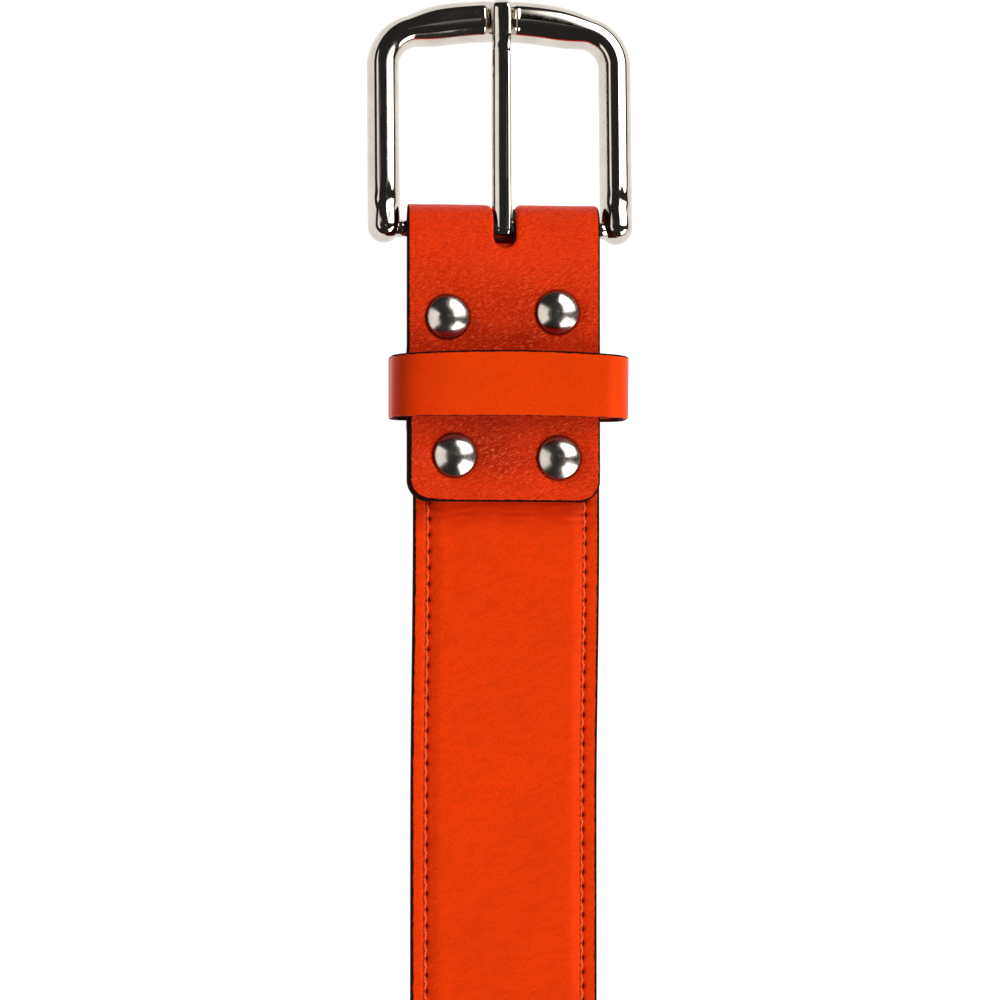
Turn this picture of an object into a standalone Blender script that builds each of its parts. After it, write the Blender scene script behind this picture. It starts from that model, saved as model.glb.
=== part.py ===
"""A leather belt with a polished heel-bar buckle, lying flat and straight, face up.

+Y runs along the belt towards the buckle, +X to the right of the face, +Z out of the face.
Lengths along the belt are measured from the buckle's heel bar, which BAR_Y places in the model.
"""
import math

import bmesh
import bpy
from mathutils import Matrix, Vector

MM = 0.001

# Strap: a face, a filler and a lining, stitched along both edges and punched near the tip
STRAP_WIDTH = 38.0 * MM
STRAP_X = 1.0 * MM
STRAP_END = -3.1 * MM
TIP_END = -680.0 * MM
FACE_THICKNESS = 1.4 * MM
CORE_THICKNESS = 0.8 * MM
LINING_THICKNESS = 1.0 * MM
LAYER_GAP = 0.3 * MM
CORE_INSET = 4.5 * MM
EDGE_ROUND = 0.4 * MM
HELD_HEIGHT = 4.4 * MM
SLOPE_START = -60.0 * MM
SLOPE_LENGTH = 60.0 * MM
MIDDLE_HOLE = -560.0 * MM
HOLE_PITCH = 25.0 * MM
HOLE_COUNT = 5
HOLE_RADIUS = 2.4 * MM

# Stitching
STITCH_INSET = 3.0 * MM
THREAD_WIDTH = 0.7 * MM
GROOVE_WIDTH = 1.4 * MM
GROOVE_DEPTH = 0.55 * MM
THREAD_SUNK = 0.25 * MM
THREAD_PROUD = 0.1 * MM
BACK_THREAD_LEVEL = 0.05 * MM
BACK_THREAD_THICKNESS = 0.2 * MM

# Buckle tab: a folded piece that holds the heel bar, with one leg over the strap and one under it
TAB_WIDTH = 39.4 * MM
TAB_X = 0.1 * MM
TAB_THICKNESS = 2.0 * MM
TAB_END = -55.8 * MM
TAB_CORNER = 5.5 * MM
FOLD_REACH = 4.95 * MM
POCKET_FROM = -24.2 * MM
POCKET_TO = -40.8 * MM
POCKET_RAMP = 2.0 * MM
SLOT_WIDTH = 4.7 * MM
SLOT_X = 0.3 * MM
SLOT_END = -4.2 * MM
BACK_SLOT_END = -2.0 * MM

# Buckle
BAR_RADIUS = 1.75 * MM
BAR_SEAT_GAP = 0.25 * MM
BAR_HALF_LENGTH = 24.0 * MM
FRAME_HALF_WIDTH = 27.0 * MM
FRAME_REACH = 47.5 * MM
FRAME_DEPTH = 6.4 * MM
FRAME_BACK_DEPTH = 1.6 * MM
FRONT_FULLNESS = 0.9
BACK_FULLNESS = 0.6
LIMB_WIDTH = 6.6 * MM
CROSSBAR_WIDTH = 8.5 * MM
CROSSBAR_GROWS_OVER = 0.4
ARCH_RADIUS = 73.0 * MM
CORNER_RADIUS = 7.5 * MM
LUG_REACH = 2.7 * MM
LUG_SLICES = ((1.0, 0.30), (0.85, 0.66), (0.5, 0.92))
NOTCH_RADIUS = 3.2 * MM
NOTCH_DEPTH = 1.6 * MM
REST_TILT = math.radians(4.0)

# Prong
EYE_RADIUS = 2.6 * MM
EYE_WIDTH = 3.8 * MM
EYE_CLEARANCE = 0.08 * MM
PRONG_THICKNESS = 2.8 * MM
PRONG_LOW = 1.2 * MM
PRONG_HALF_WIDTH = 1.9 * MM
PRONG_END_GAP = 0.2 * MM

# Keeper loop, held in the pocket between the strap and the tab's back leg
KEEPER_WIDTH = 12.8 * MM
KEEPER_THICKNESS = 1.6 * MM
KEEPER_HALF_SPAN = 24.2 * MM
KEEPER_BOTTOM = 2.35 * MM
KEEPER_TOP = 17.0 * MM
KEEPER_X = 1.15 * MM
KEEPER_Y = -32.5 * MM
KEEPER_SEAM = 0.4 * MM
KEEPER_LOWER_BEND = 3.2 * MM
KEEPER_UPPER_BEND = 4.5 * MM
STAPLE_SPAN = 7.0 * MM
STAPLE_WIRE = 0.5 * MM
STAPLE_SUNK = 0.1 * MM
STAPLE_COVER = 0.15 * MM

# Rivets, set by hand: (name, across, along)
RIVETS = (
    ("front_left", -11.35 * MM, -18.3 * MM),
    ("front_right", 11.1 * MM, -17.2 * MM),
    ("rear_left", -9.9 * MM, -46.4 * MM),
    ("rear_right", 11.4 * MM, -46.8 * MM),
)
CAP_RADIUS = 4.3 * MM
CAP_RIM = 0.5 * MM
CAP_DOME = 1.7 * MM
POST_RADIUS = 1.2 * MM
SOCKET_RADIUS = 1.9 * MM
SOCKET_BORE = 1.5 * MM
BACK_CAP_RADIUS = 3.2 * MM
BACK_CAP_THICKNESS = 0.9 * MM
BACK_CAP_BEVEL = 0.4 * MM
RIVET_HOLE_RADIUS = 2.2 * MM

# Worked out from the dimensions above
STRAP_THICKNESS = FACE_THICKNESS + CORE_THICKNESS + LINING_THICKNESS + 2 * LAYER_GAP
CORE_LEVEL = LINING_THICKNESS + LAYER_GAP
FACE_LEVEL = CORE_LEVEL + CORE_THICKNESS + LAYER_GAP
FRONT_LEG = HELD_HEIGHT + STRAP_THICKNESS + LAYER_GAP
BACK_LEG = HELD_HEIGHT - LAYER_GAP - TAB_THICKNESS
TAB_TOP = FRONT_LEG + TAB_THICKNESS
BAR_Z = (TAB_TOP + BACK_LEG) / 2
BAR_Y = -(TIP_END + FRAME_REACH) / 2
CUT_LOW = -2.0 * MM
CUT_HIGH = 16.0 * MM
STRAP_PLACE = (STRAP_X, BAR_Y, 0)

ORANGE = (0.74, 0.045, 0.004)
TAB_ORANGE = (0.66, 0.035, 0.004)
KEEPER_ORANGE = (0.80, 0.060, 0.004)
BOARD = (0.35, 0.25, 0.16)
NICKEL = (0.62, 0.60, 0.57)


def clear_scene():
    for item in list(bpy.data.objects):
        bpy.data.objects.remove(item, do_unlink=True)


def material(name, colour, roughness, metallic):
    made = bpy.data.materials.new(name)
    made.use_nodes = True
    shader = made.node_tree.nodes["Principled BSDF"]
    shader.inputs["Base Color"].default_value = (*colour, 1.0)
    shader.inputs["Roughness"].default_value = roughness
    shader.inputs["Metallic"].default_value = metallic
    return made


def finish_mesh(name, bm):
    """Turns the bmesh into a mesh whose faces point outwards, smooth except at sharp edges."""
    bmesh.ops.recalc_face_normals(bm, faces=bm.faces)
    mesh = bpy.data.meshes.new(name)
    bm.to_mesh(mesh)
    bm.free()
    mesh.shade_smooth()
    mesh.set_sharp_from_angle(angle=math.radians(35))
    return mesh


def add_object(name, mesh, location=(0, BAR_Y, 0), tilt=0.0):
    made = bpy.data.objects.new(name, mesh)
    made.location = location
    made.rotation_euler = (tilt, 0, 0)
    bpy.context.scene.collection.objects.link(made)
    return made


def add_part(name, mesh, colour, roughness, metallic=0.0, location=(0, BAR_Y, 0), tilt=0.0):
    if not mesh.materials:
        mesh.materials.append(material(name, colour, roughness, metallic))
    return add_object(name, mesh, location, tilt)


def add_cutter(name, mesh, location=(0, BAR_Y, 0), tilt=0.0):
    made = add_object(name, mesh, location, tilt)
    made.hide_render = True
    made.display_type = "WIRE"
    return made


def combine(target, cutter, operation="DIFFERENCE"):
    step = target.modifiers.new(f"{operation.lower()}_{cutter.name}", "BOOLEAN")
    step.operation = operation
    step.solver = "EXACT"
    step.object = cutter


def loft(name, loops):
    """A solid through closed loops of equal length, with a face over each end."""
    bm = bmesh.new()
    rings = [[bm.verts.new(point) for point in loop] for loop in loops]
    for low, high in zip(rings, rings[1:]):
        for i in range(len(low)):
            j = (i + 1) % len(low)
            bm.faces.new((low[i], low[j], high[j], high[i]))
    bm.faces.new(rings[0])
    bm.faces.new(rings[-1])
    return finish_mesh(name, bm)


def lathe(name, profile, steps=20):
    """A solid turned about Z from a profile of (radius, height) that starts and ends on the axis."""
    bm = bmesh.new()
    rings = []
    for radius, height in profile:
        if radius == 0:
            rings.append([bm.verts.new((0, 0, height))] * steps)
            continue
        turns = [2 * math.pi * k / steps for k in range(steps)]
        rings.append([bm.verts.new((radius * math.cos(a), radius * math.sin(a), height)) for a in turns])
    for low, high in zip(rings, rings[1:]):
        for i in range(steps):
            j = (i + 1) % steps
            corners = dict.fromkeys((low[i], low[j], high[j], high[i]))
            bm.faces.new(tuple(corners))
    return finish_mesh(name, bm)


def cylinder(name, radius, start, end, axis="Z", steps=20):
    """A closed cylinder along one axis, from start to end on that axis."""
    loops = []
    for along in (start, end):
        loop = []
        for k in range(steps):
            a = 2 * math.pi * (k + 0.5) / steps
            u, v = radius * math.cos(a), radius * math.sin(a)
            loop.append({"X": (along, u, v), "Y": (u, along, v), "Z": (u, v, along)}[axis])
        loops.append(loop)
    return loft(name, loops)


def box(name, low, high):
    corners = ((low[0], low[1]), (high[0], low[1]), (high[0], high[1]), (low[0], high[1]))
    return loft(name, [[(x, y, z) for x, y in corners] for z in (low[2], high[2])])


# The strap's own shape


def strap_height(y):
    """Height of the strap's back above the ground: held up by the tab, then down to rest."""
    if y > SLOPE_START:
        return HELD_HEIGHT
    t = min((SLOPE_START - y) / SLOPE_LENGTH, 1.0)
    return HELD_HEIGHT * (1 + math.cos(math.pi * t)) / 2


def strap_stations(inset=0.0, start=STRAP_END):
    """(y, half width) down the strap and round its tip, moved inwards by inset."""
    radius = STRAP_WIDTH / 2
    centre = TIP_END + radius
    slope = [SLOPE_START - SLOPE_LENGTH * k / 8 for k in range(9)]
    rows = [(y, radius - inset) for y in [start] + slope]
    for k in range(9):
        a = math.radians(85) * k / 8
        rows.append((centre - (radius - inset) * math.sin(a), (radius - inset) * math.cos(a)))
    return rows


def layer(name, level, thickness, inset, start):
    """One layer of the strap, with its long edges slightly rounded."""
    loops = []
    for y, half in strap_stations(inset, start):
        low = strap_height(y) + level
        high = low + thickness
        shoulder = half - EDGE_ROUND
        side = ((half, low), (half, high - EDGE_ROUND), (shoulder, high))
        right = [(x, y, z) for x, z in side]
        left = [(-x, y, z) for x, z in reversed(side)]
        loops.append(right + left)
    return loft(name, loops)


def seam(name, side, width, low, high):
    """A flat bar along one stitch row, from the strap's end round to the middle of its tip."""
    rows = strap_stations(STITCH_INSET, STRAP_END - STITCH_INSET)
    path = [Vector((side * half, y)) for y, half in rows]
    loops = []
    for i, point in enumerate(path):
        ahead = path[min(i + 1, len(path) - 1)] - path[max(i - 1, 0)]
        across = Vector((ahead.y, -ahead.x)).normalized() * width / 2
        base = strap_height(point.y)
        corners = ((-across, low), (across, low), (across, high), (-across, high))
        loops.append([(point.x + c.x, point.y + c.y, base + z) for c, z in corners])
    return loft(name, loops)


def hole_cutter():
    """The punched holes: one cutter of separate round pins."""
    bm = bmesh.new()
    for k in range(HOLE_COUNT):
        y = MIDDLE_HOLE + (k - (HOLE_COUNT - 1) / 2) * HOLE_PITCH
        low = [bm.verts.new((*point, CUT_LOW)) for point in circle(0, y, HOLE_RADIUS, 16)]
        high = [bm.verts.new((*point, CUT_HIGH)) for point in circle(0, y, HOLE_RADIUS, 16)]
        for i in range(16):
            j = (i + 1) % 16
            bm.faces.new((low[i], low[j], high[j], high[i]))
        bm.faces.new(low)
        bm.faces.new(high)
    return add_cutter("hole_cutter", finish_mesh("hole_cutter", bm), STRAP_PLACE)


def circle(x, y, radius, steps):
    turns = [2 * math.pi * (k + 0.5) / steps for k in range(steps)]
    return [(x + radius * math.cos(a), y + radius * math.sin(a)) for a in turns]


def rivet_hole_cutters():
    mesh = cylinder("rivet_hole", RIVET_HOLE_RADIUS, CUT_LOW, CUT_HIGH, steps=16)
    return [add_cutter(f"rivet_hole_{name}", mesh, (x, BAR_Y + y, 0)) for name, x, y in RIVETS]


def make_strap(rivet_holes):
    layers = (
        ("strap_face", FACE_LEVEL, FACE_THICKNESS, 0, ORANGE, 0.5),
        ("strap_core", CORE_LEVEL, CORE_THICKNESS, CORE_INSET, BOARD, 0.9),
        ("strap_lining", 0, LINING_THICKNESS, 0, ORANGE, 0.7),
    )
    holes = hole_cutter()
    made = {}
    for name, level, thickness, inset, colour, roughness in layers:
        mesh = layer(name, level, thickness, inset, STRAP_END)
        made[name] = add_part(name, mesh, colour, roughness, location=STRAP_PLACE)
        for cutter in [*rivet_holes, holes]:
            combine(made[name], cutter)
    top = STRAP_THICKNESS
    for word, side in (("left", -1), ("right", 1)):
        groove = seam("groove", side, GROOVE_WIDTH, top - GROOVE_DEPTH, top + GROOVE_DEPTH)
        combine(made["strap_face"], add_cutter(f"face_groove_{word}", groove, STRAP_PLACE))
        groove = seam("groove", side, GROOVE_WIDTH, -GROOVE_DEPTH, GROOVE_DEPTH)
        combine(made["strap_lining"], add_cutter(f"back_groove_{word}", groove, STRAP_PLACE))
        thread = seam("thread", side, THREAD_WIDTH, top - THREAD_SUNK, top + THREAD_PROUD)
        add_part(f"face_thread_{word}", thread, ORANGE, 0.6, location=STRAP_PLACE)
        thread = seam("thread", side, THREAD_WIDTH, BACK_THREAD_LEVEL, BACK_THREAD_LEVEL + BACK_THREAD_THICKNESS)
        add_part(f"back_thread_{word}", thread, ORANGE, 0.6, location=STRAP_PLACE)


# The buckle tab


def tab_centreline():
    """(y, z, half width) along the middle of the leather, from the front leg's end round the bar."""
    half = TAB_WIDTH / 2
    front = TAB_TOP - TAB_THICKNESS / 2
    back = BACK_LEG + TAB_THICKNESS / 2
    low = TAB_THICKNESS / 2
    ends = []
    for k in range(6):
        a = math.radians(90) * k / 5
        inward = TAB_CORNER * (1 - math.sin(a))
        ends.append((TAB_END + TAB_CORNER * (1 - math.cos(a)), half - inward))
    radius = (front - back) / 2
    nose = FOLD_REACH - radius - TAB_THICKNESS / 2
    rows = [(y, front, wide) for y, wide in ends]
    for k in range(13):
        a = math.pi * k / 12
        rows.append((nose + radius * math.sin(a), BAR_Z + radius * math.cos(a), half))
    for y, z in ((POCKET_FROM + POCKET_RAMP, back), (POCKET_FROM, low), (POCKET_TO, low),
                 (POCKET_TO - POCKET_RAMP, back)):
        rows.append((y, z, half))
    return rows + [(y, back, wide) for y, wide in reversed(ends)]


def mitre_offsets(points):
    """Unit-thickness offsets of an open polyline, lengthened at its bends to keep the thickness."""
    offsets = []
    for i, point in enumerate(points):
        before = (point - points[i - 1]).normalized() if i else None
        after = (points[i + 1] - point).normalized() if i < len(points) - 1 else None
        before = before or after
        after = after or before
        middle = (before + after).normalized()
        normal = Vector((-middle.y, middle.x))
        offsets.append(normal / max(normal.dot(Vector((-after.y, after.x))), 0.3))
    return offsets


def make_tab(rivet_holes):
    rows = tab_centreline()
    points = [Vector((y, z)) for y, z, _ in rows]
    loops = []
    for (y, z, half), offset in zip(rows, mitre_offsets(points)):
        o = offset * TAB_THICKNESS / 2
        loops.append([(-half, y - o.x, z - o.y), (half, y - o.x, z - o.y),
                      (half, y + o.x, z + o.y), (-half, y + o.x, z + o.y)])
    tab = add_part("buckle_tab", loft("buckle_tab", loops), TAB_ORANGE, 0.55, location=(TAB_X, BAR_Y, 0))
    for cutter in rivet_holes:
        combine(tab, cutter)
    combine(tab, add_cutter("front_slot", front_slot_mesh(), (SLOT_X, BAR_Y, 0)))
    low = (-SLOT_WIDTH / 2, BACK_SLOT_END, CUT_LOW)
    high = (SLOT_WIDTH / 2, 2 * FOLD_REACH, BAR_Z + LAYER_GAP)
    combine(tab, add_cutter("back_slot", box("back_slot", low, high), (SLOT_X, BAR_Y, 0)))


def front_slot_mesh():
    """The slot for the prong in the front leg: open round the fold, with a half-round end."""
    radius = SLOT_WIDTH / 2
    outline = [(-radius, 2 * FOLD_REACH), (radius, 2 * FOLD_REACH)]
    for k in range(9):
        a = -math.pi * k / 8
        outline.append((radius * math.cos(a), SLOT_END + radius + radius * math.sin(a)))
    return loft("front_slot", [[(x, y, z) for x, y in outline] for z in (BAR_Z, CUT_HIGH)])


# The buckle, about its heel bar: local Y runs to the crossbar, local Z out of its face


def frame_path():
    """(x, y, outward normal, half width) from the right lug over the crossbar to the middle."""
    limb_x = FRAME_HALF_WIDTH - LIMB_WIDTH / 2
    crossbar_y = FRAME_REACH - CROSSBAR_WIDTH / 2
    arch_y = crossbar_y - ARCH_RADIUS
    reach = ARCH_RADIUS - CORNER_RADIUS
    across = limb_x - CORNER_RADIUS
    corner_y = arch_y + math.sqrt(reach**2 - across**2)
    turn = math.acos(across / reach)
    rows = [(limb_x, corner_y * k / 5, 0.0, LIMB_WIDTH / 2) for k in range(5)]
    for k in range(9):
        a = turn * k / 8
        x = across + CORNER_RADIUS * math.cos(a)
        rows.append((x, corner_y + CORNER_RADIUS * math.sin(a), a, LIMB_WIDTH / 2))
    for k in range(1, 9):
        a = turn + (math.pi / 2 - turn) * k / 8
        t = math.sin(math.pi / 2 * min(1.0, k / 8 / CROSSBAR_GROWS_OVER))
        half = (LIMB_WIDTH + (CROSSBAR_WIDTH - LIMB_WIDTH) * t) / 2
        rows.append((ARCH_RADIUS * math.cos(a), arch_y + ARCH_RADIUS * math.sin(a), a, half))
    return rows


def frame_section(x, y, angle, half, grow=1.0, steps=14):
    """A deep rounded front over a shallow, squarer back, across the path."""
    front = FRAME_DEPTH - FRAME_BACK_DEPTH
    widest = FRAME_BACK_DEPTH - FRAME_DEPTH / 2
    loop = []
    for k in range(steps):
        a = 2 * math.pi * (k + 0.5) / steps
        rising = math.sin(a) > 0
        fullness = FRONT_FULLNESS if rising else BACK_FULLNESS
        out = math.copysign(abs(math.cos(a)) ** fullness, math.cos(a)) * half * grow
        up = math.copysign(abs(math.sin(a)) ** fullness, math.sin(a)) * (front if rising else FRAME_BACK_DEPTH)
        loop.append((x + out * math.cos(angle), y + out * math.sin(angle), (widest + up) * grow))
    return loop


def make_frame():
    half_path = frame_path()
    limb_x, _, _, limb_half = half_path[0]
    right = [frame_section(limb_x, -share * LUG_REACH, 0.0, limb_half, size) for share, size in LUG_SLICES]
    right += [frame_section(*row) for row in half_path]
    left = [[(-x, y, z) for x, y, z in loop] for loop in reversed(right[:-1])]
    place = (0, BAR_Y, BAR_Z)
    frame = add_part("buckle_frame", loft("buckle_frame", right + left), NICKEL, 0.08, 1.0, place, -REST_TILT)
    seat = cylinder("bar_seat", BAR_RADIUS + BAR_SEAT_GAP, -BAR_HALF_LENGTH - LAYER_GAP,
                    BAR_HALF_LENGTH + LAYER_GAP, "X")
    combine(frame, add_cutter("bar_seat", seat, place, -REST_TILT))
    notch = cylinder("notch", NOTCH_RADIUS, FRAME_REACH - 1.5 * CROSSBAR_WIDTH, FRAME_REACH + 3 * MM, "Y", 24)
    notch.transform(Matrix.Translation((0, 0, FRAME_DEPTH / 2 - NOTCH_DEPTH + NOTCH_RADIUS)))
    combine(frame, add_cutter("prong_notch", notch, place, -REST_TILT))
    bar = cylinder("heel_bar", BAR_RADIUS, -BAR_HALF_LENGTH, BAR_HALF_LENGTH, "X")
    add_part("heel_bar", bar, NICKEL, 0.1, 1.0, place, -REST_TILT)


def make_prong():
    """A straight tongue with an eye round the bar, stepping up over the crossbar to its tip."""
    high = FRAME_DEPTH / 2 - NOTCH_DEPTH + LAYER_GAP + PRONG_THICKNESS / 2
    wide = PRONG_HALF_WIDTH
    end = FRAME_REACH - PRONG_END_GAP
    rows = (
        (0.8 * MM, 0.4 * PRONG_LOW, wide, 1.0),
        (3.0 * MM, 0.5 * PRONG_LOW, wide, 1.0),
        (20.0 * MM, 0.9 * PRONG_LOW, wide, 1.0),
        (end - 13.8 * MM, PRONG_LOW, wide, 1.0),
        (end - 10.8 * MM, PRONG_LOW + 1.0 * MM, wide, 1.0),
        (end - 8.3 * MM, high, wide, 0.97),
        (end - 4.3 * MM, high, wide, 1.0),
        (end - 1.7 * MM, high - 0.1 * MM, 0.95 * wide, 0.9),
        (end - 0.5 * MM, high - 0.4 * MM, 0.68 * wide, 0.6),
        (end, high - 0.7 * MM, 0.26 * wide, 0.2),
    )
    loops = []
    for y, z, half, thick in rows:
        loop = []
        for k in range(12):
            a = 2 * math.pi * (k + 0.5) / 12
            up = PRONG_THICKNESS / 2 * thick * math.sin(a)
            loop.append((half * math.cos(a), y, z + up))
        loops.append(loop)
    place = (0, BAR_Y, BAR_Z)
    prong = add_part("prong", loft("prong", loops), NICKEL, 0.1, 1.0, place, -REST_TILT)
    eye = cylinder("prong_eye", EYE_RADIUS, -EYE_WIDTH / 2, EYE_WIDTH / 2, "X", 24)
    combine(prong, add_cutter("prong_eye", eye, place, -REST_TILT), "UNION")
    bore = cylinder("prong_bore", BAR_RADIUS + EYE_CLEARANCE, -EYE_WIDTH, EYE_WIDTH, "X", 20)
    combine(prong, add_cutter("prong_bore", bore, place, -REST_TILT))


# The keeper


def keeper_path():
    """(x, z) along the middle of the loop's leather, from its seam round to the seam again."""
    half = KEEPER_THICKNESS / 2
    low, high = KEEPER_BOTTOM + half, KEEPER_TOP - half
    wide = KEEPER_HALF_SPAN - half
    right = [(KEEPER_SEAM / 2, low)]
    lower, upper = KEEPER_LOWER_BEND, KEEPER_UPPER_BEND
    for radius, centre_z, start in ((lower, low + lower, -90), (upper, high - upper, 0)):
        for k in range(6):
            a = math.radians(start + 18 * k)
            right.append((wide - radius + radius * math.cos(a), centre_z + radius * math.sin(a)))
    return right + [(-x, z) for x, z in reversed(right)]


def make_keeper():
    points = [Vector(point) for point in keeper_path()]
    loops = []
    for point, offset in zip(points, mitre_offsets(points)):
        o = offset * KEEPER_THICKNESS / 2
        inner, outer = point + o, point - o
        near, far = -KEEPER_WIDTH / 2, KEEPER_WIDTH / 2
        loops.append([(inner.x, near, inner.y), (inner.x, far, inner.y),
                      (outer.x, far, outer.y), (outer.x, near, outer.y)])
    place = (KEEPER_X, BAR_Y + KEEPER_Y, 0)
    keeper = add_part("keeper", loft("keeper", loops), KEEPER_ORANGE, 0.45, 0.0, place)
    half, wire = STAPLE_SPAN / 2, STAPLE_WIRE
    crown_z = KEEPER_BOTTOM + STAPLE_SUNK
    crown_top = crown_z + wire
    leg_top = KEEPER_BOTTOM + KEEPER_THICKNESS - STAPLE_COVER
    room = LAYER_GAP
    below = KEEPER_BOTTOM - MM
    channel = box("staple_channel", (-half - room, -wire / 2 - room, below),
                  (half + room, wire / 2 + room, crown_top + room))
    combine(keeper, add_cutter("staple_channel", channel, place))
    for word, side in (("left", -1), ("right", 1)):
        middle = side * (half - wire / 2)
        reach = wire / 2 + room
        leg = box("staple_leg_hole", (middle - reach, -reach, below),
                  (middle + reach, reach, leg_top + MM))
        combine(keeper, add_cutter(f"staple_leg_hole_{word}", leg, place))
    outline = [(-half, crown_z), (half, crown_z), (half, leg_top), (half - wire, leg_top),
               (half - wire, crown_top), (wire - half, crown_top), (wire - half, leg_top), (-half, leg_top)]
    staple = loft("keeper_staple", [[(x, y, z) for x, z in outline] for y in (-wire / 2, wire / 2)])
    add_part("keeper_staple", staple, NICKEL, 0.35, 1.0, place)


# The rivets: a domed cap with a post in front, and a flat cap with a socket behind


def make_rivets():
    seat = TAB_TOP + LAYER_GAP
    back_top = BACK_LEG - LAYER_GAP
    back_low = back_top - BACK_CAP_THICKNESS
    dome = []
    for k in range(7):
        a = math.radians(90) * k / 6
        dome.append((CAP_RADIUS * math.cos(a), seat + CAP_RIM + CAP_DOME * math.sin(a)))
    dome[-1] = (0, seat + CAP_RIM + CAP_DOME)
    post_end = back_top + LAYER_GAP
    front = [(0, post_end), (POST_RADIUS, post_end), (POST_RADIUS, seat), (CAP_RADIUS, seat), *dome]
    back = [(0, back_low), (BACK_CAP_RADIUS - BACK_CAP_BEVEL, back_low), (BACK_CAP_RADIUS, back_low + BACK_CAP_BEVEL),
            (BACK_CAP_RADIUS, back_top), (SOCKET_RADIUS, back_top), (SOCKET_RADIUS, FRONT_LEG),
            (SOCKET_BORE, FRONT_LEG), (SOCKET_BORE, back_top), (0, back_top)]
    front_mesh, back_mesh = lathe("rivet_cap", front), lathe("rivet_back", back)
    for name, x, y in RIVETS:
        place = (x, BAR_Y + y, 0)
        add_part(f"rivet_cap_{name}", front_mesh, NICKEL, 0.12, 1.0, place)
        add_part(f"rivet_back_{name}", back_mesh, NICKEL, 0.2, 1.0, place)


def main():
    clear_scene()
    rivet_holes = rivet_hole_cutters()
    make_strap(rivet_holes)
    make_tab(rivet_holes)
    make_frame()
    make_prong()
    make_keeper()
    make_rivets()


main()
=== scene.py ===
"""Looks of the orange leather belt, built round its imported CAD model.

Shapes are worked out in millimetres, in the row frame, and put() turns them into metres.
"""
import math

import bmesh
import bpy
import numpy as np
from mathutils import Matrix, Vector, noise


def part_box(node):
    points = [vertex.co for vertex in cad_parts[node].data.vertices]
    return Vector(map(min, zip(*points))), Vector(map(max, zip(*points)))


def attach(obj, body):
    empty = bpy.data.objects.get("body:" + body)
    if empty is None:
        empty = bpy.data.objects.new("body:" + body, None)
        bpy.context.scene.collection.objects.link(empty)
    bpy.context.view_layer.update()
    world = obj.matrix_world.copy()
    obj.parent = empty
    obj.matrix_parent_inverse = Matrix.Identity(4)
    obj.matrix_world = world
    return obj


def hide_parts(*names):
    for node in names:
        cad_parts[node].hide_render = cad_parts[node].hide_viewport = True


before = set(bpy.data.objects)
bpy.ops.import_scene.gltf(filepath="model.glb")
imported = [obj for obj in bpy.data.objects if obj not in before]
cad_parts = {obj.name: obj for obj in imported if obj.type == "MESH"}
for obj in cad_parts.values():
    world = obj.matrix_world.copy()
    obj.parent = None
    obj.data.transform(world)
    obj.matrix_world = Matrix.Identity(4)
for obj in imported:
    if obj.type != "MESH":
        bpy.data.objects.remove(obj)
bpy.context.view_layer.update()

MM = 0.001


def cad(node):
    """Lowest and highest corner of a CAD node, in millimetres."""
    low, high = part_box(node)
    return np.array(low) / MM, np.array(high) / MM


def middle(node):
    low, high = cad(node)
    return (low + high) / 2


# Places read from the frame
FACE_LOW, FACE_HIGH = cad("strap_face")
TAB_LOW, TAB_HIGH = cad("buckle_tab")
BAR = middle("heel_bar")
BAR_RADIUS = (cad("heel_bar")[1][2] - cad("heel_bar")[0][2]) / 2
STRAP_X = (FACE_LOW[0] + FACE_HIGH[0]) / 2
HALF_STRAP = (FACE_HIGH[0] - FACE_LOW[0]) / 2
STRAP_ROOT = FACE_HIGH[1]
TIP_CENTRE = FACE_LOW[1] + HALF_STRAP
TAB_X = (TAB_LOW[0] + TAB_HIGH[0]) / 2
HALF_TAB = (TAB_HIGH[0] - TAB_LOW[0]) / 2
TAB_TOP = TAB_HIGH[2]
KEEPER_LOW, KEEPER_HIGH = cad("keeper")
CORNERS = ("front_left", "front_right", "rear_left", "rear_right")
RIVETS = {name: middle(f"rivet_cap_{name}") for name in CORNERS}

# Strap: places along it are measured from the heel bar, heights from its own back
HELD_HEIGHT = 4.4
SLOPE_START = -60.0
SLOPE_LENGTH = 60.0
STRAP_THICKNESS = FACE_HIGH[2] - HELD_HEIGHT
MARGIN_THICKNESS = 3.4
JOIN_LEVEL = 1.9
CORE_EDGE = 4.5
CORE_LEVELS = {True: 2.25, False: 1.15}
STITCH_INSET = 3.0
GROOVE_WIDTH = 0.45
FACE_GROOVE = 0.22
BACK_GROOVE = 0.14
BACK_RELIEF = 0.6
LEFT_PITCH = 3.3
RIGHT_PITCH = 2.9
HOLE_RADIUS = 2.4
MIDDLE_HOLE = -560.0
HOLE_PITCH = 25.0
HOLE_COUNT = 5
THREAD_RADIUS = 0.24
BACK_THREAD_RADIUS = 0.2
THREAD_SIDE = -0.26
CREASE_AT = -58.5
CREASE_LENGTH = 4.5

# Tab: places along it are measured from the heel bar
TAB_THICKNESS = 2.0
TAB_CORNER = 4.4
TAB_FADE = -4.0
FOLD_REACH = 4.95
TAB_END = TAB_LOW[1] - BAR[1]
BACK_LEG = 2.1
BACK_LEG_SHORT = 0.6
BACK_LEG_INSET = 0.8
POCKET_FROM = -24.2
POCKET_TO = -40.8
POCKET_RAMP = 2.0
SLOT_X = 0.3
SLOT_RADIUS = 2.35
SLOT_END = -4.2
BACK_SLOT_END = -1.0
SLOT_PAST_FOLD = 12.0

# Rivets
CAP_RADIUS = 4.3
CAP_SUNK = 0.5
CAP_SLOPE = math.radians(34)
BACK_CAP_RADIUS = 3.2
BACK_CAP_HEIGHT = 0.9
SHANK_BORE = 2.2

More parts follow.
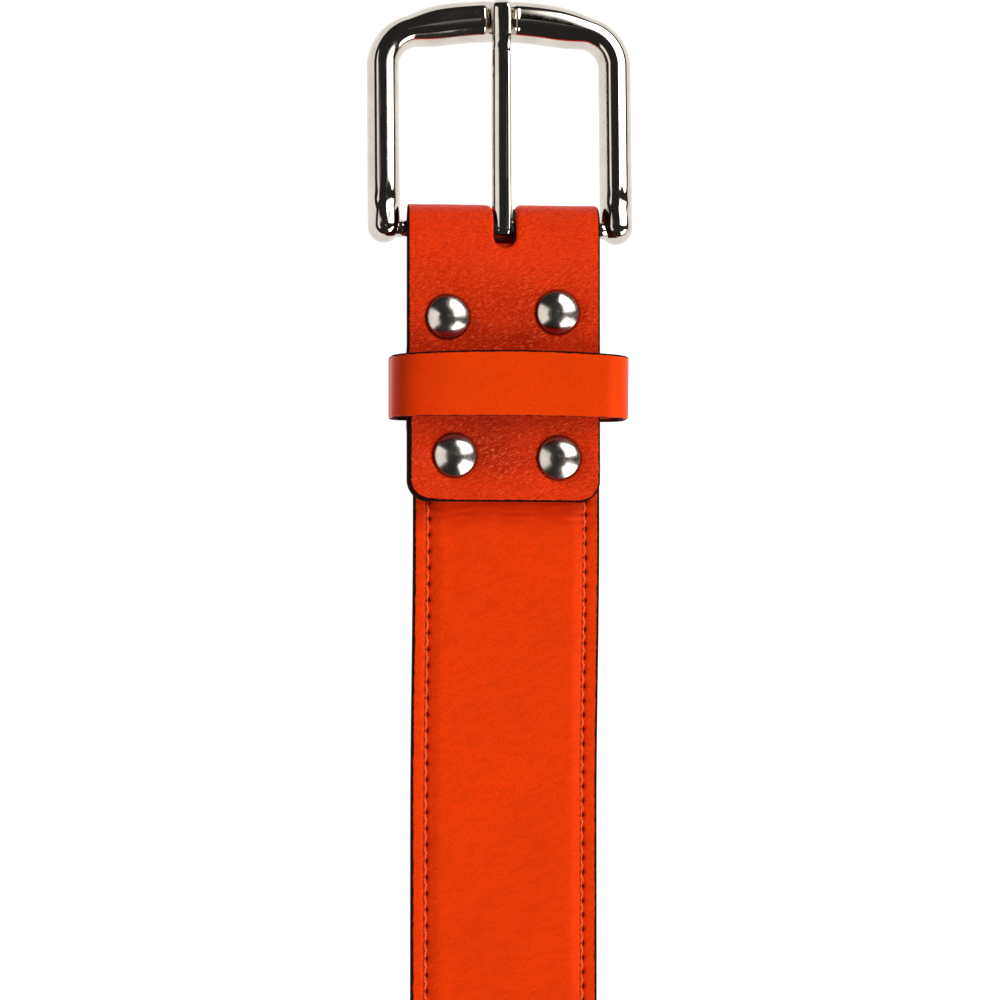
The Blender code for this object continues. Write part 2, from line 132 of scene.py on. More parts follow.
# Buckle
REST_TILT = math.radians(4.0)
FRAME_HALF_WIDTH = 27.15
FRAME_REACH = 47.5
FRAME_DEPTH = 6.4
FRAME_BACK_DEPTH = 1.6
LIMB_WIDTH = 6.6
CROSSBAR_WIDTH = 8.5
ARCH_RADIUS = 73.0
CORNER_RADIUS = 7.5
LUG_REACH = 2.7
LUG_CENTRE = LIMB_WIDTH / 2 - LUG_REACH
CROSSBAR_GROWS_OVER = 0.4
NOTCH_HALF_WIDTH = 3.25
NOTCH_DEPTH = 1.6
EYE_WALL = 0.4
EYE_WIDTH = 3.4
EYE_CLEARANCE = 0.08
PRONG_THICKNESS = 2.8
PRONG_HALF_WIDTH = 2.0
PRONG_ROLL = math.radians(9)

# Keeper
KEEPER_THICKNESS = 1.6

# Stage
PANEL_DISTANCE = 1300.0
FLOOR_REACH = 12000.0
VIEW_DISTANCE = 1500.0
VIEW_WIDTH = 203.3
SENSOR_WIDTH = 36.0

# Places across a leather piece, from its edge inwards, fine where the edge rounds over
NEAR_EDGE = np.array((0, 0.03, 0.08, 0.15, 0.24, 0.35, 0.48, 0.62, 0.8, 1.0, 1.25, 1.55, 1.9, 2.3))


# Mesh making


def put(name, rows, wrap=True, caps=True, attributes=(), weld=False):
    """A mesh object from a grid of points in millimetres, shaped (rows, columns, 3).

    The rows are joined round when wrap is set, and the first and last are closed when caps is set.
    """
    rows = np.asarray(rows, float)
    n, m = rows.shape[:2]
    index = np.arange(n * m).reshape(n, m)
    right = np.roll(index, -1, axis=1) if wrap else index[:, 1:]
    left = index if wrap else index[:, :-1]
    quads = np.stack((left[:-1], right[:-1], right[1:], left[1:]), axis=-1).reshape(-1, 4)
    mesh = bpy.data.meshes.new(name)
    mesh.from_pydata((rows.reshape(-1, 3) * MM).tolist(), [], quads.tolist())
    for key, values in dict(attributes).items():
        layer = mesh.attributes.new(key, "FLOAT", "POINT")
        layer.data.foreach_set("value", np.asarray(values, np.float32).ravel())
    bm = bmesh.new()
    bm.from_mesh(mesh)
    if weld:
        bmesh.ops.remove_doubles(bm, verts=bm.verts, dist=1e-7)
        bmesh.ops.dissolve_degenerate(bm, edges=bm.edges, dist=1e-8)
    if caps:
        bmesh.ops.holes_fill(bm, edges=[e for e in bm.edges if e.is_boundary], sides=0)
    bmesh.ops.recalc_face_normals(bm, faces=bm.faces)
    bm.to_mesh(mesh)
    bm.free()
    return place(name, mesh)


def place(name, mesh, angle=40):
    mesh.shade_smooth()
    mesh.set_sharp_from_angle(angle=math.radians(angle))
    made = bpy.data.objects.new(name, mesh)
    bpy.context.scene.collection.objects.link(made)
    return made


def cut(target, tool, operation="DIFFERENCE", solver="EXACT"):
    """Applies a Boolean and removes its tool."""
    step = target.modifiers.new("cut", "BOOLEAN")
    step.operation = operation
    step.solver = solver
    step.object = tool
    bpy.context.view_layer.update()
    depsgraph = bpy.context.evaluated_depsgraph_get()
    evaluated = target.evaluated_get(depsgraph)
    mesh = bpy.data.meshes.new_from_object(evaluated, preserve_all_data_layers=True, depsgraph=depsgraph)
    target.modifiers.clear()
    target.data = mesh
    mesh.shade_smooth()
    mesh.set_sharp_from_angle(angle=math.radians(40))
    bpy.data.objects.remove(tool, do_unlink=True)


def turns_of(steps):
    """Angles in even steps round a full circle."""
    return np.linspace(0, 2 * math.pi, steps + 1)[:-1]


def prism(name, outlines):
    """A closed solid through outlines given as (height, points): a cutter whose rim can flare."""
    return put(name, [[(x, y, z) for x, y in points] for z, points in outlines])


def ring(x, y, radius, steps):
    return [(x + radius * math.cos(a), y + radius * math.sin(a)) for a in turns_of(steps)]


def smooth(t):
    t = np.clip(t, 0, 1)
    return t * t * (3 - 2 * t)


def gauss(x, width):
    return np.exp(-(x / width) ** 2)


def ripple(points, scale, seed=0.0):
    """Smooth noise of about -1 to 1 at each point, with features about scale millimetres long."""
    flat = np.asarray(points, float).reshape(-1, 3) / scale + seed
    values = [noise.noise(Vector(p)) for p in flat]
    return np.array(values).reshape(np.asarray(points).shape[:-1])


def roundover(distance, radius):
    """How far a surface drops as it rounds over towards an edge, at a distance from that edge."""
    t = np.clip(distance / radius, 0, 1)
    return radius * (1 - np.sqrt(1 - (1 - t) ** 2))


# Strap


def strap_height(y):
    """Height of the strap's back, for y measured from the heel bar."""
    t = np.clip((SLOPE_START - y) / SLOPE_LENGTH, 0, 1)
    return HELD_HEIGHT * (1 + np.cos(math.pi * t)) / 2


def strap_stations():
    """Stations down one side and round half the tip.

    Each has its origin y, its direction (x, y) outwards and its length along the stitch row.
    """
    root = STRAP_ROOT - BAR[1]
    centre = TIP_CENTRE - BAR[1]
    under_tab = np.arange(root, -50, -1.2)
    seen = np.arange(-50, -180, -0.3)
    rest = np.arange(-180, centre, -0.45)
    y = np.concatenate((under_tab, seen, rest))
    turns = np.radians(np.linspace(0, 90, 67))
    origin = np.concatenate((y, np.full(turns.size, centre)))
    angle = np.concatenate((np.zeros(y.size), turns))
    inner = HALF_STRAP - STITCH_INSET
    along = np.concatenate((root - y, root - centre + inner * turns))
    return origin, np.cos(angle), -np.sin(angle), along


# Places across half the strap, from its middle line to its edge: fine at the stitches and at the edge
INSETS = np.array((
    19, 16.5, 14, 12, 10, 8.5, 7.4, 6.6, 6.0, 5.5, 5.1, 4.75, 4.45, 4.2, 4.0, 3.82, 3.68, 3.56, 3.46,
    3.37, 3.28, 3.19, 3.1, 3.0, 2.9, 2.81, 2.72, 2.63, 2.54, 2.44, 2.32, 2.15, 1.9, 1.6, 1.3, 1.0, 0.8,
    0.62, 0.48, 0.36, 0.25, 0.16, 0.08, 0.03, 0.0,
))
BACK_INSETS = INSETS[[0, 1, 3, 5, 7, 9, *range(11, 45)]]


def strap_surface(inset, along, pitch, thick, thin, groove):
    """Height of the strap's skin, puffed between its stitch rows, and each point's share in a needle hole."""
    away = inset - STITCH_INSET
    puff = smooth(away / 3.0) ** 0.8
    height = thin + (thick - thin) * puff
    height = height - groove * gauss(away, GROOVE_WIDTH) - 0.7 * groove * gauss(away, 1.5)
    nearest = along - np.round(along / pitch) * pitch
    hole = gauss(away, 0.46) * gauss(nearest, 0.50)
    pucker = gauss(away, 1.0) * gauss(nearest, 0.8)
    height = height - 0.55 * hole - 0.06 * pucker
    return height - roundover(inset, 0.55 if thick else 1.9), hole


def strap_half(side, pitch, top):
    """Points, edge paint and painted needle-hole shade of one half of a strap skin: a row for each station, a
    column for each inset.
    """
    origin, dx, dy, along = strap_stations()
    insets = INSETS if top else BACK_INSETS
    sizes = (STRAP_THICKNESS, MARGIN_THICKNESS, FACE_GROOVE) if top else (0.0, 0.0, BACK_GROOVE)
    level, hole = strap_surface(insets[None, :], along[:, None], pitch, *sizes)
    if not top:
        level = -level * BACK_RELIEF

    def across(inset, height):
        reach = HALF_STRAP - inset
        x = STRAP_X + side * dx[:, None] * reach
        y = origin[:, None] + dy[:, None] * reach
        return np.stack(np.broadcast_arrays(x, y, strap_height(origin)[:, None] + height), axis=-1)

    core = CORE_LEVELS[top]
    inner_insets = np.array((0.0, CORE_EDGE - 0.4, CORE_EDGE, INSETS[0]))
    inner_levels = np.array((JOIN_LEVEL, JOIN_LEVEL, core, core))
    whole = np.concatenate((across(insets, level), across(inner_insets, inner_levels)), axis=1)
    painted = np.broadcast_to(insets - (0.14 if side > 0 else 0.0), level.shape)
    edge = np.concatenate((painted, np.zeros((origin.size, 2)), np.full((origin.size, 2), 9.0)), axis=1)
    # Painted shade in the needle holes.
    painted_shade_marks = np.concatenate((hole, np.zeros((origin.size, 4))), axis=1)
    whole[..., 1] += BAR[1]
    return whole, edge, painted_shade_marks


def make_strap_skin(name, top):
    left = strap_half(-1, LEFT_PITCH, top)
    right = strap_half(1, RIGHT_PITCH, top)
    points, edge, painted_shade_marks = (np.concatenate((a, b[::-1]), axis=0) for a, b in zip(left, right))
    tone_and_painted_shade = 0 * edge
    if top:
        points[..., 2] += 0.035 * ripple(points, 9.0, 3.0) * smooth((edge - 4) / 4)
        bent = gauss(points[..., 1] - BAR[1] - CREASE_AT, CREASE_LENGTH)
        creases = ripple(points * (0.2, 1, 0), 0.8, 7.0)
        points[..., 2] += 0.10 * creases * bent * smooth((edge - 0.6) / 1.5)
        # Painted shade: the strap just below the tab's end is darkened, in lines along its creases.
        tone_and_painted_shade = (0.5 - 0.5 * creases) * gauss(points[..., 1] - BAR[1] - CREASE_AT - 1.0, 3.0)
    made = put(name, points, wrap=False, attributes={"edge_mm": edge, "painted_shade_marks": painted_shade_marks, "tone_and_painted_shade": tone_and_painted_shade}, weld=True)
    cut(made, hole_cutter(top), solver="MANIFOLD")
    return made


def hole_cutter(top):
    """Round punches with a small flare, which breaks the hole's rim."""
    skin = STRAP_THICKNESS
    levels = ((-3, 0.0), (skin - 0.5, 0.0), (skin - 0.2, 0.06), (skin, 0.25), (9, 3.0))
    if not top:
        levels = ((-3, 1.0), (0, 0.2), (0.25, 0.0), (9, 0.0))
    made = []
    for k in range(HOLE_COUNT):
        y = BAR[1] + MIDDLE_HOLE + (k - (HOLE_COUNT - 1) / 2) * HOLE_PITCH
        rings = [(z, ring(STRAP_X, y, HOLE_RADIUS + more, 40)) for z, more in levels]
        made.append(prism(f"punch_{k}", rings))
    return join(made)


def join(objects):
    """The objects' meshes as one object."""
    bm = bmesh.new()
    for item in objects:
        bm.from_mesh(item.data)
        bpy.data.objects.remove(item, do_unlink=True)
    mesh = bpy.data.meshes.new("joined")
    bm.to_mesh(mesh)
    bm.free()
    return place("joined", mesh)


def make_thread(name, side, pitch, top):
    """One run of stitches: a strand that dips into a needle hole at each end of each stitch."""
    origin, dx, dy, along = strap_stations()
    total = along[-1]
    count = int(total // pitch)
    steps = 12
    t = np.arange(count * steps + 1) / steps
    s = np.clip(t * pitch, 0, total)
    part = t - np.round(t)
    away = part * pitch
    bow = np.sin(math.pi * np.clip(np.abs(part) * 2, 0, 1)) ** 0.5 * (0.9 + 0.4 * part)
    across = STITCH_INSET - side * THREAD_SIDE * bow
    oy = np.interp(s, along, origin)
    ox, sy = np.interp(s, along, dx), np.interp(s, along, dy)
    inner = HALF_STRAP - across
    if top:
        lift = MARGIN_THICKNESS - 0.14 - 0.95 * gauss(away, 0.52)
    else:
        lift = 0.22 + 0.45 * gauss(away, 0.42)
    x = STRAP_X + side * ox * inner
    y = BAR[1] + oy + sy * inner
    centre = np.stack((x, y, strap_height(oy) + lift), axis=-1)
    return put(name, tube(centre, THREAD_RADIUS if top else BACK_THREAD_RADIUS, 8))


def tube(centre, radius, sides):
    """Rings of points round a line, each ring square to it."""
    ahead = np.gradient(centre, axis=0)
    ahead /= np.linalg.norm(ahead, axis=1)[:, None]
    across = np.cross(ahead, (0, 0, 1.0))
    across /= np.linalg.norm(across, axis=1)[:, None]
    up = np.cross(across, ahead)
    a = turns_of(sides)[None, :, None]
    return centre[:, None] + radius * (np.cos(a) * across[:, None] + np.sin(a) * up[:, None])


# Tab


def tab_path():
    """y, z, outward normal (y, z) and flat length along the middle of the tab's leather."""
    half = TAB_THICKNESS / 2
    front, low = TAB_TOP - half, half
    back = BACK_LEG + half
    bar_z = BAR[2]
    radius = (front - back) / 2
    nose = FOLD_REACH - radius - half
    leg = np.concatenate((TAB_END + NEAR_EDGE, np.arange(TAB_END + 2.7, nose - 0.1, 0.36)))
    turns = np.radians(np.linspace(0, 180, 41))
    back_end = TAB_END + BACK_LEG_SHORT
    back_leg = np.concatenate((np.arange(nose - 0.8, back_end + 2.7, -0.8), back_end + NEAR_EDGE[::-1]))
    sag = smooth((POCKET_FROM + POCKET_RAMP - back_leg) / (POCKET_RAMP + 0.6))
    sag *= smooth((back_leg - POCKET_TO + POCKET_RAMP) / (POCKET_RAMP + 0.6))
    y = np.concatenate((leg, nose + radius * np.sin(turns), back_leg))
    z = np.concatenate((np.full(leg.size, front), bar_z + radius * np.cos(turns), back - (back - low) * sag))
    normal_y = np.concatenate((np.zeros(leg.size), np.sin(turns), np.zeros(back_leg.size)))
    normal_z = np.concatenate((np.ones(leg.size), np.cos(turns), -np.ones(back_leg.size)))
    step = np.hypot(np.diff(y), np.diff(z))
    return y, z, normal_y, normal_z, np.concatenate(((0,), np.cumsum(step)))


def tab_columns():
    """Places across the tab, as shares of its half width: fine at its edges, even between them."""
    edge = HALF_TAB - np.array([0, 0.03, 0.08, 0.15, 0.24, 0.35, 0.48, 0.62, 0.8, 1.05])
    inner = np.linspace(-HALF_TAB + 1.4, HALF_TAB - 1.4, 105)
    return np.concatenate((-edge, inner, edge[::-1])) / HALF_TAB


def make_tab():
    y, z, ny, nz, flat = tab_path()
    total = flat[-1]
    from_end = np.minimum(flat, total - flat)
    corner = np.clip(TAB_CORNER - from_end, 0, TAB_CORNER)
    inset = BACK_LEG_INSET * smooth(-nz / 2 + 0.5)
    half = HALF_TAB - inset - TAB_CORNER + np.sqrt(TAB_CORNER**2 - corner**2)
    share = tab_columns()
    x = half[:, None] * share[None, :]
    side = TAB_X + x
    over_x = np.clip(np.abs(x) - (HALF_TAB - TAB_CORNER - inset[:, None]), 0, None)
    over_y = np.broadcast_to(corner[:, None], x.shape)
    in_corner = (over_x > 0) & (over_y > 0)
    straight = np.minimum(half[:, None] - np.abs(x), from_end[:, None])
    edge = np.where(in_corner, TAB_CORNER - np.hypot(over_x, over_y), straight)
    edge = np.clip(edge, 0, None)
    front = (nz > 0.5)[:, None] & np.ones_like(x, bool)
    drop = roundover(edge, 0.5)
    world_y = (y + BAR[1])[:, None] + 0 * x
    dip = np.zeros_like(x)
    for centre in RIVETS.values():
        away = np.hypot(side - centre[0], world_y - centre[1])
        front_dip = 0.55 * gauss(np.clip(away - CAP_RADIUS + 0.3, 0, None), 1.7)
        front_dip += 0.12 * gauss(away - CAP_RADIUS, 0.5)
        back_dip = 0.25 * gauss(np.clip(away - BACK_CAP_RADIUS, 0, None), 1.2)
        dip += np.where(front, front_dip, np.where(nz[:, None] < -0.5, back_dip, 0))
    slot_away = np.hypot(side - SLOT_X, np.clip(y[:, None] - SLOT_END - SLOT_RADIUS, None, 0)) - SLOT_RADIUS
    flare = 0.5 + 0.9 * np.clip(1 - nz, 0, 1)[:, None]
    drop = np.maximum(drop, np.where(nz[:, None] > -0.5, roundover(np.clip(slot_away, 0.02, None), flare), 0))
    outer = np.stack((side, world_y + ny[:, None] * (TAB_THICKNESS / 2 - drop - dip),
                      z[:, None] + nz[:, None] * (TAB_THICKNESS / 2 - drop - dip)), axis=-1)
    crease = ripple(outer * (1.0, 1.6, 0.2), 2.2, 5.0) * 0.035 + ripple(outer, 6.0, 9.0) * 0.05
    crease *= smooth((edge - 0.4) / 1.5)
    outer[..., 1] += ny[:, None] * crease
    outer[..., 2] += nz[:, None] * crease
    inner_share = np.linspace(1, -1, 23)
    inner_x = half[:, None] * inner_share[None, :]
    depth = TAB_THICKNESS / 2
    inner = np.stack((TAB_X + inner_x, (y + BAR[1])[:, None] - ny[:, None] * depth + 0 * inner_x,
                      z[:, None] - nz[:, None] * depth + 0 * inner_x), axis=-1)
    points = np.concatenate((outer, inner), axis=1)
    bleed = np.interp(np.abs(inner_share), (0.85, 0.93, 1.0), (9.0, 0.7, 0.0))
    turned = 0.45 * smooth((KEEPER_LOW[1] + 6 - world_y) / 6) * smooth((5 - half[:, None] - x) / 4)
    paint = np.concatenate((edge - turned * (edge < 3), bleed + 0 * inner_x), axis=1)
    from_bar = points[..., 1] - BAR[1]
    # Painted shade: the tab is darkened below its fold, in patches, less near its end and edges; the same share
    # deepens its wrinkles and paints their crests lighter.
    painted_shade_zone = smooth((TAB_FADE - from_bar) / 13) * (1 - 0.45 * smooth((TAB_END + 9 - from_bar) / 7))
    tone_and_painted_shade = painted_shade_zone * (0.32 + 0.22 * ripple(points, 7.0, 11.0)) * (0.45 + 0.55 * smooth((paint - 1.0) / 7))
    # Painted contact shadow: a dark ring painted round each rivet cap.
    from_caps = [np.hypot(points[..., 0] - c[0], points[..., 1] - c[1]) - CAP_RADIUS for c in RIVETS.values()]
    cap_rim_shadow = sum(gauss(away - 0.1, 0.45) for away in from_caps)
    made = put("tab_leather", points, attributes={"edge_mm": paint, "painted_shade_marks": 0.5 * cap_rim_shadow, "tone_and_painted_shade": tone_and_painted_shade})
    for centre in RIVETS.values():
        cut(made, prism("bore", [(h, ring(centre[0], centre[1], SHANK_BORE, 24)) for h in (-2, 14)]))
    cut(made, prism("front_slot", [(h, front_slot()) for h in (BAR[2], TAB_TOP + 3)]))
    low, high = SLOT_X - SLOT_RADIUS, SLOT_X + SLOT_RADIUS
    near, far = BAR[1] + BACK_SLOT_END, BAR[1] + SLOT_PAST_FOLD
    back = ((low, near), (high, near), (high, far), (low, far))
    cut(made, prism("back_slot", [(h, back) for h in (-3, BAR[2] + 0.3)]))
    return made


def front_slot():
    """Outline of the prong's slot in the front leg: straight sides and a round end."""
    far = BAR[1] + SLOT_PAST_FOLD
    middle_y = BAR[1] + SLOT_END + SLOT_RADIUS
    points = [(SLOT_X - SLOT_RADIUS, far), (SLOT_X + SLOT_RADIUS, far)]
    for a in np.linspace(0, -math.pi, 33):
        points.append((SLOT_X + SLOT_RADIUS * math.cos(a), middle_y + SLOT_RADIUS * math.sin(a)))
    return points


# Buckle


def tilted(points):
    """Points given about the heel bar, put where the buckle rests: turned down about the bar."""
    points = np.array(points, float)
    c, s = math.cos(REST_TILT), math.sin(REST_TILT)
    y, z = points[..., 1].copy(), points[..., 2].copy()
    points[..., 1] = BAR[1] + y * c + z * s
    points[..., 2] = BAR[2] - y * s + z * c
    return points


def frame_path():
    """(x, y, outward angle, half width) from the right lug over the crossbar to the middle."""
    limb_x = FRAME_HALF_WIDTH - LIMB_WIDTH / 2
    arch_y = FRAME_REACH - CROSSBAR_WIDTH / 2 - ARCH_RADIUS
    reach = ARCH_RADIUS - CORNER_RADIUS
    across = limb_x - CORNER_RADIUS
    corner_y = arch_y + math.sqrt(reach**2 - across**2)
    turn = math.acos(across / reach)
    half = LIMB_WIDTH / 2
    rows = [(limb_x, y, 0.0, half) for y in np.linspace(LUG_CENTRE, corner_y, 90, endpoint=False)]
    for a in np.linspace(0, turn, 44):
        x, y = across + CORNER_RADIUS * math.cos(a), corner_y + CORNER_RADIUS * math.sin(a)
        rows.append((x, y, a, half))
    crown = [turn + (math.pi / 2 - turn) * t for t in np.linspace(0, 0.76, 34)[1:]]
    crown += [math.acos(x / ARCH_RADIUS) for x in np.arange(crown_x(crown[-1]), 0, -0.09)] + [math.pi / 2]
    for a in crown:
        t = (a - turn) / (math.pi / 2 - turn)
        grown = math.sin(math.pi / 2 * min(1.0, t / CROSSBAR_GROWS_OVER))
        half = (LIMB_WIDTH + (CROSSBAR_WIDTH - LIMB_WIDTH) * grown) / 2
        rows.append((ARCH_RADIUS * math.cos(a), arch_y + ARCH_RADIUS * math.sin(a), a, half))
    return rows


def crown_x(angle):
    """Where the fine slices of the notch begin, just past an angle on the arch."""
    return ARCH_RADIUS * math.cos(angle) - 0.1


def frame_profile():
    """Half of the casting's section as (out, up), from its ridge down its front, flank and back.

    Each arc turns the surface from one lean to the next with its own radius: a soft ridge, a broad
    facet, a shoulder and a deep flank. The back is shallow and rounded.
    """
    arcs = (
        (0, 9, 0.9, 5), (9, 15, 13.0, 9), (15, 27, 0.6, 5),
        (27, 42, 2.0, 6), (42, 70, 3.0, 6), (70, 90, 9.4, 6),
    )
    out, up = [0.0], [0.0]
    for start, end, radius, steps in arcs:
        lean = np.radians(np.linspace(start, end, steps * 4 + 1))
        middle_lean = (lean[:-1] + lean[1:]) / 2
        step = radius * np.diff(lean)
        x = out[-1] + np.cumsum(step * np.cos(middle_lean))
        z = up[-1] - np.cumsum(step * np.sin(middle_lean))
        out += list(x[3::4])
        up += list(z[3::4])
    out, up = np.array(out) / out[-1], np.array(up)
    up = up - up[-1]
    up *= (FRAME_DEPTH - FRAME_BACK_DEPTH) / up[0]
    back = np.radians(np.linspace(0, 90, 11))[1:]
    back_out, back_up = np.cos(back) ** 0.55, -FRAME_BACK_DEPTH * np.sin(back) ** 0.7
    return np.concatenate((out, back_out)), np.concatenate((up, back_up)), out.size


def make_frame():
    out, up, front = frame_profile()
    widest = FRAME_BACK_DEPTH - FRAME_DEPTH / 2
    limb_x, limb_half = FRAME_HALF_WIDTH - LIMB_WIDTH / 2, LIMB_WIDTH / 2
    share = np.concatenate((out, -out[-2:0:-1]))
    level = np.concatenate((up, up[-2:0:-1]))
    on_front = level > 0

    def section(x, y, angle, wide, reach_in=0.0):
        """One slice; reach_in cuts it away from the middle of a round end."""
        r = np.maximum(np.abs(share) * wide, min(reach_in, wide))
        z = np.where(on_front, np.interp(r / wide, out[:front], up[:front]),
                     np.interp(r / wide, out[front - 1:][::-1], up[front - 1:][::-1]))
        r = np.sign(share) * np.sqrt(np.maximum(r**2 - reach_in**2, 0))
        px, py = x + r * math.cos(angle), y + r * math.sin(angle)
        neck = 1.4 + 0.7 * smooth(np.abs(np.abs(share) - 0.4) / 0.3)
        lug = 0.28 * gauss(y - 1.6, 3.2) - 0.40 * gauss(y - 5.3, neck) if angle == 0 else 0.0
        scale = 1 + lug / (FRAME_DEPTH - FRAME_BACK_DEPTH)
        z = np.where(on_front, z * scale, z)
        hollow = np.abs(px) / NOTCH_HALF_WIDTH if y > 30 else np.full(px.shape, 2.0)
        dish = np.clip(1 - hollow**2, 0, None) ** 1.5
        rim = 0.08 * gauss(hollow - 1.06, 0.09)
        rise = np.clip(z / up[0], 0, None)
        z = np.where(on_front, np.maximum(z - NOTCH_DEPTH * dish * rise**0.35 + rim * rise, 0.02), z)
        return np.stack((px, py, z + widest), axis=-1)

    cuts = limb_half * np.sin(np.radians(np.linspace(90, 4, 26)))
    right = [section(limb_x, LUG_CENTRE - c, 0.0, limb_half, c) for c in cuts]
    right += [section(*row) for row in frame_path()]
    right = np.array(right)
    left = right[-2::-1] * (-1, 1, 1)
    return put("buckle_casting", tilted(np.concatenate((right, left))), weld=True)


def make_bar():
    """The bar, with a small shoulder where it enters each lug."""
    reach = cad("heel_bar")[1][0]
    inner = FRAME_HALF_WIDTH - LIMB_WIDTH
    half = [
        (reach, 0.92), (reach - 0.2, 1.0), (inner + 0.4, 1.0), (inner + 0.3, 1.02), (inner - 0.2, 1.02),
        (inner - 0.45, 1.0),
    ]
    whole = half + [(0, 1.0)] + [(-x, share) for x, share in half[::-1]]
    return put("heel_bar_rod", tilted(turned_on_x([(x, BAR_RADIUS * share) for x, share in whole], 48)))


def turned_on_x(profile, steps):
    """A round body's slices along X, from its profile of (x, radius)."""
    return [[(x, r * math.cos(a), r * math.sin(a)) for a in turns_of(steps)] for x, r in profile]


def make_prong():
    """A straight tongue from an eye round the bar, waisted where it steps up over the crossbar."""
    high = FRAME_DEPTH / 2 - NOTCH_DEPTH + 0.3 + PRONG_THICKNESS / 2
    wide = PRONG_HALF_WIDTH
    keys = np.array((
        (-2.34, -0.50, 0.16 * wide, 0.45), (-2.2, -0.12, 0.42 * wide, 0.62), (-1.85, 0.28, 0.68 * wide, 0.80),
        (-1.3, 0.62, 0.88 * wide, 0.93), (-0.5, 0.86, 0.98 * wide, 1.0), (0.6, 0.90, wide, 1.0),
        (10.0, 1.14, wide, 1.0), (20.0, 1.60, wide, 1.0), (31.0, 2.12, 0.99 * wide, 1.0),
        (34.5, 2.22, 0.97 * wide, 0.97), (36.6, 2.4, 0.94 * wide, 0.90),
        (38.2, 3.0, 0.94 * wide, 0.94), (39.6, high, wide, 1.0), (43.0, high + 0.05, 1.02 * wide, 1.0),
        (45.3, high + 0.05, wide, 1.0), (46.1, high - 0.04, 0.94 * wide, 0.94),
        (46.7, high - 0.3, 0.74 * wide, 0.68),
        (47.0, high - 0.52, 0.50 * wide, 0.42), (47.2, high - 0.68, 0.26 * wide, 0.24),
    ))
    runs = ((-2.34, -0.6, 22), (-0.5, 3, 14), (3.4, 33, 56), (33.3, 44.5, 56), (44.6, 47.2, 26))
    ys = np.concatenate([np.linspace(start, end, count) for start, end, count in runs])
    z, half, thick = (np.interp(ys, keys[:, 0], keys[:, k]) for k in (1, 2, 3))
    kernel = np.array([1, 2, 3, 2, 1]) / 9
    for values in (z, half, thick):
        values[:] = np.convolve(np.pad(values, 2, mode="edge"), kernel, "valid")
    a = turns_of(48)
    square = (np.cos(a) > 0) & (np.sin(a) > 0)
    out = np.sign(np.cos(a)) * np.abs(np.cos(a)) ** np.where(square, 0.45, 0.85)
    up = np.sign(np.sin(a)) * np.abs(np.sin(a)) ** np.where(square, 0.45, 0.95)
    lean = np.where(up > 0, -math.sin(PRONG_ROLL) * out * np.clip(up, 0, 1), 0)
    rows = [[(w * o, y, zz + PRONG_THICKNESS / 2 * h * (u + tip)) for o, u, tip in zip(out, up, -lean * 0.9)]
            for y, zz, w, h in zip(ys, z, half, thick)]
    made = put("prong_tongue", tilted(rows))
    half_eye, thin_wall = EYE_WIDTH / 2, 0.16
    profile = []
    for x in half_eye * np.sin(np.radians(np.linspace(-90, 90, 25))):
        barrel = math.sqrt(max(1 - (x / half_eye) ** 2, 0))
        profile.append((x, BAR_RADIUS + thin_wall + (EYE_WALL - thin_wall) * barrel))
    cut(made, put("eye", tilted(turned_on_x(profile, 72))), "UNION")
    bore = BAR_RADIUS + EYE_CLEARANCE
    cut(made, put("bore", tilted(turned_on_x([(-5, bore), (5, bore)], 72))))
    return made


# Keeper


